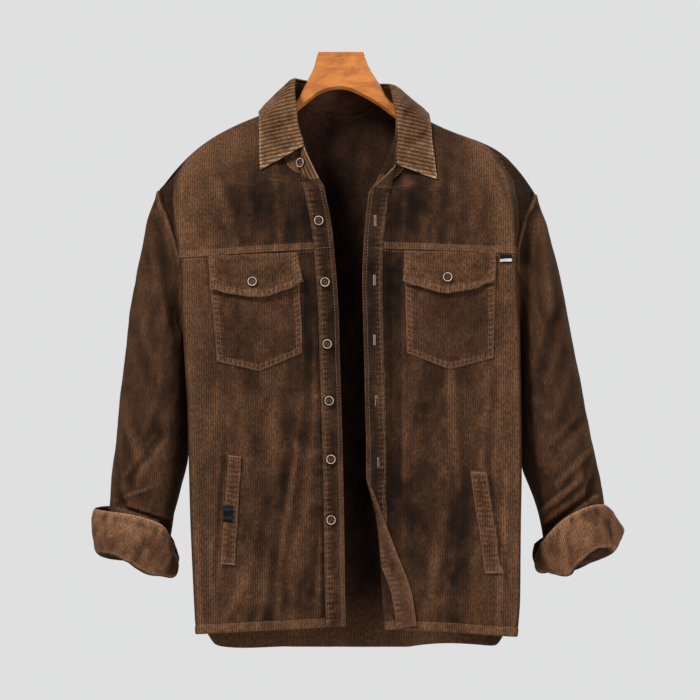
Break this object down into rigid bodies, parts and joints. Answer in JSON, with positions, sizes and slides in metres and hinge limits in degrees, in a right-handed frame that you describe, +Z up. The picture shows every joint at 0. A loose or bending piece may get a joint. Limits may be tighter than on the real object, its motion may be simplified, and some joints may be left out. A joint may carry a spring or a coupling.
{
  "type": "corduroy jacket on a wooden hanger",
  "caption": "Long-sleeved corduroy overshirt jacket hanging open on a plain wooden hanger, with collar, flapped chest pockets, welted hand pockets and turned-back cuffs.",
  "frame": {"origin": "middle of the flat top of the hanger's neck, where the hanger is held", "axes": "+Z up, the open front faces -Y, +X towards the wearer's left"},
  "size_m": [0.6906, 0.154, 0.7784],
  "materials": {
    "corduroy": "ribbed pile, worn along the seams",
    "cuff_corduroy": "lighter inside of the corduroy",
    "wood": "clear satin lacquer",
    "button": "mottled horn look",
    "label": "woven tape"
  },
  "bodies": {
    "root": {"back": "corduroy", "front_right": "corduroy", "front_left": "corduroy", "front_yoke_right": "corduroy", "front_yoke_left": "corduroy", "placket_right": "corduroy", "placket_left": "corduroy", "collar_stand": "corduroy", "collar": "corduroy", "sleeve_right": "corduroy", "sleeve_left": "corduroy", "chest_pocket_right": "corduroy", "chest_pocket_left": "corduroy", "pocket_flap_right": "corduroy", "pocket_flap_left": "corduroy", "welt_right": "corduroy", "welt_left": "corduroy", "cuff_right": "cuff_corduroy", "cuff_left": "cuff_corduroy", "hanger": "wood", "button_1": "button", "button_2": "button", "button_3": "button", "button_4": "button", "button_5": "button", "button_6": "button", "button_7": "button", "flap_button_right": "button", "flap_button_left": "button", "label_pocket": "label", "label_yoke": "label"}
  },
  "joints": []
}
